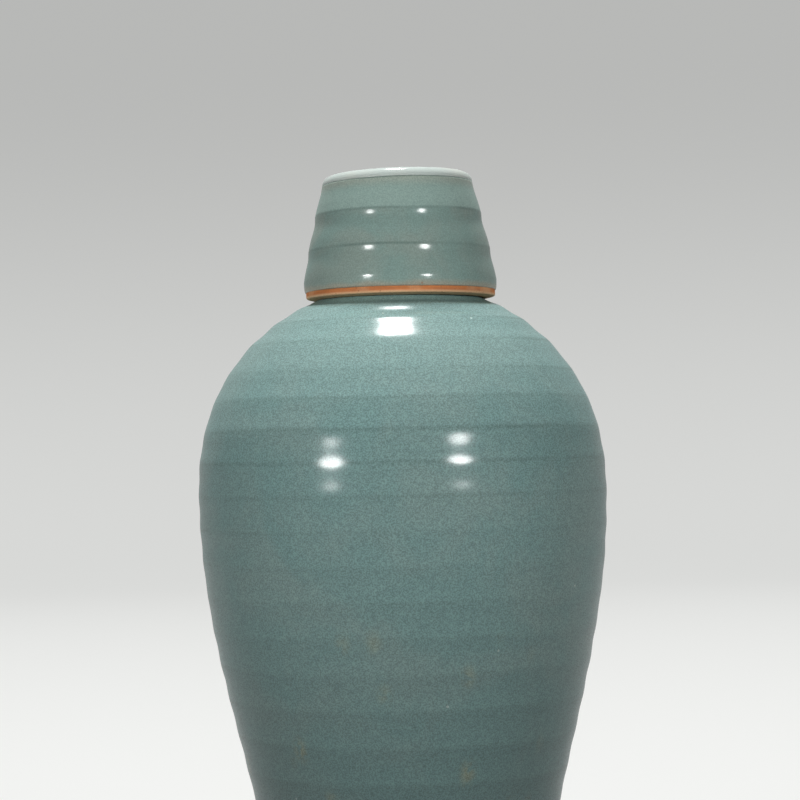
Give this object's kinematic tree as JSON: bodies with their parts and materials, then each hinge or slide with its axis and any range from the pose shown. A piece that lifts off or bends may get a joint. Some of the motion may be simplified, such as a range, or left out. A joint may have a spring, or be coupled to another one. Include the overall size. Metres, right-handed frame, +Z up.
{
  "type": "meiping vase",
  "caption": "Covered meiping vase: round high shoulder tapering to a narrow foot, small rolled mouth under a lift-off cup-shaped lid, celadon-glazed stoneware with throwing rings.",
  "frame": {"origin": "centre of the foot ring's underside, where the vase meets the surface it stands on", "axes": "+Z up along the vase's axis; the picture looks along +Y with +X to the right"},
  "size_m": [0.17, 0.17, 0.3481],
  "materials": {
    "stoneware": "bare fired orange-brown clay, fine grit",
    "slip": "fired joining slip, matt",
    "celadon_glaze": "glossy blue-grey celadon with fine crackle",
    "lid_celadon": "glossy grey-green celadon, warmer at its edges",
    "white_glaze": "glossy white",
    "liner_glaze": "thin glossy celadon"
  },
  "bodies": {
    "vase": {"foot_ring": "stoneware", "foot_slip": "slip", "lower_body": "stoneware", "belly_slip": "slip", "upper_body": "stoneware", "neck_slip": "slip", "neck": "stoneware", "outer_glaze": "celadon_glaze", "inner_glaze": "liner_glaze"},
    "lid": {"lid_cup": "stoneware", "lid_celadon_glaze": "lid_celadon", "lid_white_glaze": "white_glaze", "lid_inner_glaze": "liner_glaze"}
  },
  "joints": [
    {"name": "lid_lift", "type": "slide", "parent": "vase", "child": "lid", "axis": [0, 0, 1], "range_m": [0, 0.09]}
  ]
}
